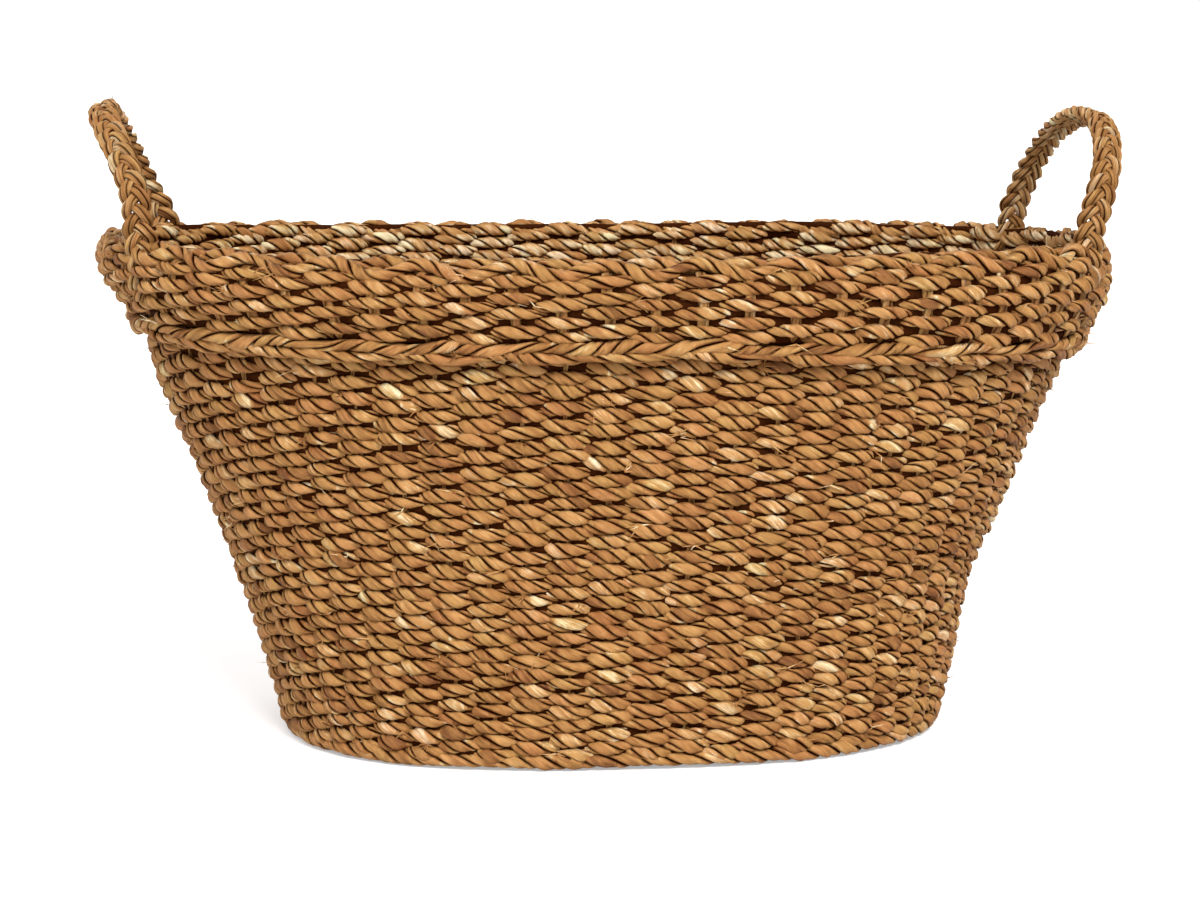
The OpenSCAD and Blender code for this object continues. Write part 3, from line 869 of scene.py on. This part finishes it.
# The photo's ground is pure white. The glow and the paper are for camera rays only, so that neither
# lights the basket.
FLOOR_GLOW = 0.38
FLOOR_HALF = 30
DOME_LIGHT = 0.45
PAPER_LIGHT = 1.1
white = bpy.data.materials.new("floor_white")
white.use_nodes = True
floor_shader = white.node_tree.nodes["Principled BSDF"]
floor_shader.inputs["Base Color"].default_value = (0.80, 0.80, 0.80, 1)
floor_shader.inputs["Roughness"].default_value = 0.9
floor_shader.inputs["Specular IOR Level"].default_value = 0.0
floor_seen = add(white.node_tree.nodes, "ShaderNodeLightPath")
floor_glow = add(white.node_tree.nodes, "ShaderNodeMath", operation="MULTIPLY")
floor_glow.inputs[1].default_value = FLOOR_GLOW
white.node_tree.links.new(floor_seen.outputs["Is Camera Ray"], floor_glow.inputs[0])
white.node_tree.links.new(floor_glow.outputs[0], floor_shader.inputs["Emission Strength"])
floor_shader.inputs["Emission Color"].default_value = (1, 1, 1, 1)
floor_mesh = bpy.data.meshes.new("floor")
corners = [(x * FLOOR_HALF, y * FLOOR_HALF, 0) for x, y in ((-1, -1), (1, -1), (1, 1), (-1, 1))]
floor_mesh.from_pydata(corners, [], [(0, 1, 2, 3)])
floor_mesh.materials.append(white)
floor = bpy.data.objects.new("floor", floor_mesh)
bpy.context.scene.collection.objects.link(floor)

world = bpy.data.worlds.new("studio")
world.use_nodes = True
world_nodes, world_links = world.node_tree.nodes, world.node_tree.links
dome = world_nodes["Background"]
dome.inputs["Color"].default_value = (1, 1, 1, 1)
dome.inputs["Strength"].default_value = DOME_LIGHT
paper = add(world_nodes, "ShaderNodeBackground")
paper.inputs["Color"].default_value = (1, 1, 1, 1)
paper.inputs["Strength"].default_value = PAPER_LIGHT
seen = add(world_nodes, "ShaderNodeLightPath")
either = add(world_nodes, "ShaderNodeMixShader")
world_links.new(seen.outputs["Is Camera Ray"], either.inputs[0])
world_links.new(dome.outputs[0], either.inputs[1])
world_links.new(paper.outputs[0], either.inputs[2])
world_links.new(either.outputs[0], world_nodes["World Output"].inputs["Surface"])
bpy.context.scene.world = world


def soft_sun(name, towards, spread, power):
    """A wide soft light from one direction, the same all over the floor."""
    data = bpy.data.lights.new(name, "SUN")
    data.angle, data.energy = math.radians(spread), power
    lamp = bpy.data.objects.new(name, data)
    lamp.rotation_euler = Vector(towards).to_track_quat("-Z", "Y").to_euler()
    bpy.context.scene.collection.objects.link(lamp)


soft_sun("key", (-0.20, 0.78, -0.80), 28, 3.6)
soft_sun("fill", (0.60, 0.75, -0.35), 60, 0.8)
soft_sun("back", (0.25, -0.80, -0.75), 60, 1.5)

# Found by matching the photo's outline. FOCAL_SHARE is the focal length over the picture's width.
VIEW_TURN = math.radians(4.1)
VIEW_DOWN = math.radians(7.34)
VIEW_ROLL = math.radians(0.35)
CAMERA_BACK, CAMERA_SIDE, CAMERA_HEIGHT = 1.800, -0.0026, 0.389
FOCAL_SHARE = 3033 / 1200
SENSOR = 36
camera_data = bpy.data.cameras.new("camera")
camera_data.sensor_width = SENSOR
camera_data.lens = SENSOR * FOCAL_SHARE
camera = bpy.data.objects.new("camera", camera_data)
cos_t, sin_t = math.cos(VIEW_TURN), math.sin(VIEW_TURN)
camera.location = (CAMERA_SIDE * cos_t - CAMERA_BACK * sin_t,
                   -CAMERA_SIDE * sin_t - CAMERA_BACK * cos_t,
                   CAMERA_HEIGHT)
look = Vector((sin_t * math.cos(VIEW_DOWN), cos_t * math.cos(VIEW_DOWN), -math.sin(VIEW_DOWN)))
camera.rotation_euler = (look.to_track_quat("-Z", "Y") @ Quaternion((0, 0, 1), -VIEW_ROLL)).to_euler()
bpy.context.scene.collection.objects.link(camera)
bpy.context.scene.camera = camera
bpy.context.scene.view_settings.view_transform = "Standard"
bpy.context.scene.view_settings.look = "None"
